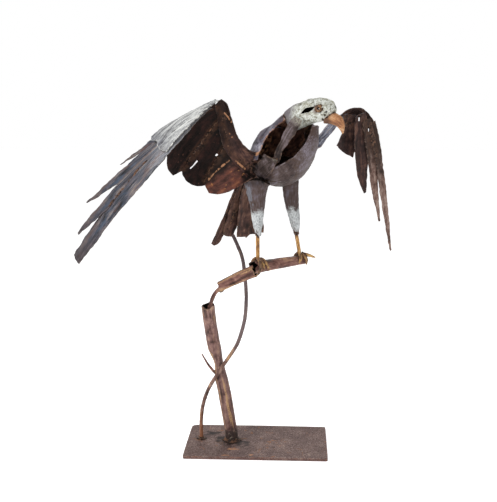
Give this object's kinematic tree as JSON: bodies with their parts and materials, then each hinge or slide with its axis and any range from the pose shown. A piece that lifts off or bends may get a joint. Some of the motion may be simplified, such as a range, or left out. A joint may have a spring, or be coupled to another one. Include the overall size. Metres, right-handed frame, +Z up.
{
  "type": "scrap metal eagle sculpture",
  "caption": "Welded scrap metal eagle with wings spread, standing on a bent rusty pipe perch that is welded to a flat steel base plate.",
  "frame": {"origin": "middle of the base plate's underside", "axes": "+Z up; +X along the plate's long side, towards the side the beak points to; +Y towards the back of the stand"},
  "size_m": [0.6735, 0.466, 0.7498],
  "materials": {
    "rust": "rusted bare steel, brown, matt",
    "dark_rust": "near black burnt steel and rust, matt",
    "orange_rust": "bright orange rust, matt",
    "steel": "hammered steel, brown and blue-grey patina",
    "blue_steel": "hammered steel, streaked blue-grey patina",
    "white": "worn white paint over steel",
    "ochre": "thin ochre colour over steel"
  },
  "bodies": {
    "root": {"base_plate": "rust", "post": "rust", "post_peeled_strip": "rust", "branch_upper_pipe": "rust", "branch_lower_pipe": "rust", "bend_strap": "rust", "support_rod": "rust", "post_weld": "dark_rust", "rod_weld": "dark_rust", "right_leg_rod": "ochre", "right_toe_inner": "ochre", "right_toe_middle": "ochre", "right_toe_outer": "ochre", "right_toe_back": "ochre", "left_leg_rod": "ochre", "left_toe_inner": "ochre", "left_toe_middle": "ochre", "left_toe_outer": "ochre", "left_toe_back": "ochre", "right_thigh": "steel", "left_thigh": "steel", "head": "white", "back_plate": "blue_steel", "breast_plate": "steel", "right_flank_plate": "steel", "left_flank_plate": "steel", "right_neck_strip": "steel", "left_side_plate": "steel", "beak": "ochre", "right_eye": "rust", "left_eye": "rust", "right_wing_arm": "rust", "right_secondary_inner": "orange_rust", "right_secondary_middle": "dark_rust", "right_secondary_outer": "dark_rust", "right_coverts": "white", "right_primary_1": "blue_steel", "right_primary_2": "blue_steel", "right_primary_3": "blue_steel", "right_primary_4": "blue_steel", "left_wing_arm": "blue_steel", "left_coverts": "rust", "left_primary_1": "rust", "left_primary_2": "rust", "left_primary_3": "rust", "left_primary_4": "rust", "left_secondary": "rust", "tail_feather_1": "rust", "tail_feather_2": "rust", "tail_feather_3": "rust", "tail_feather_4": "rust", "tail_feather_5": "rust"}
  },
  "joints": []
}
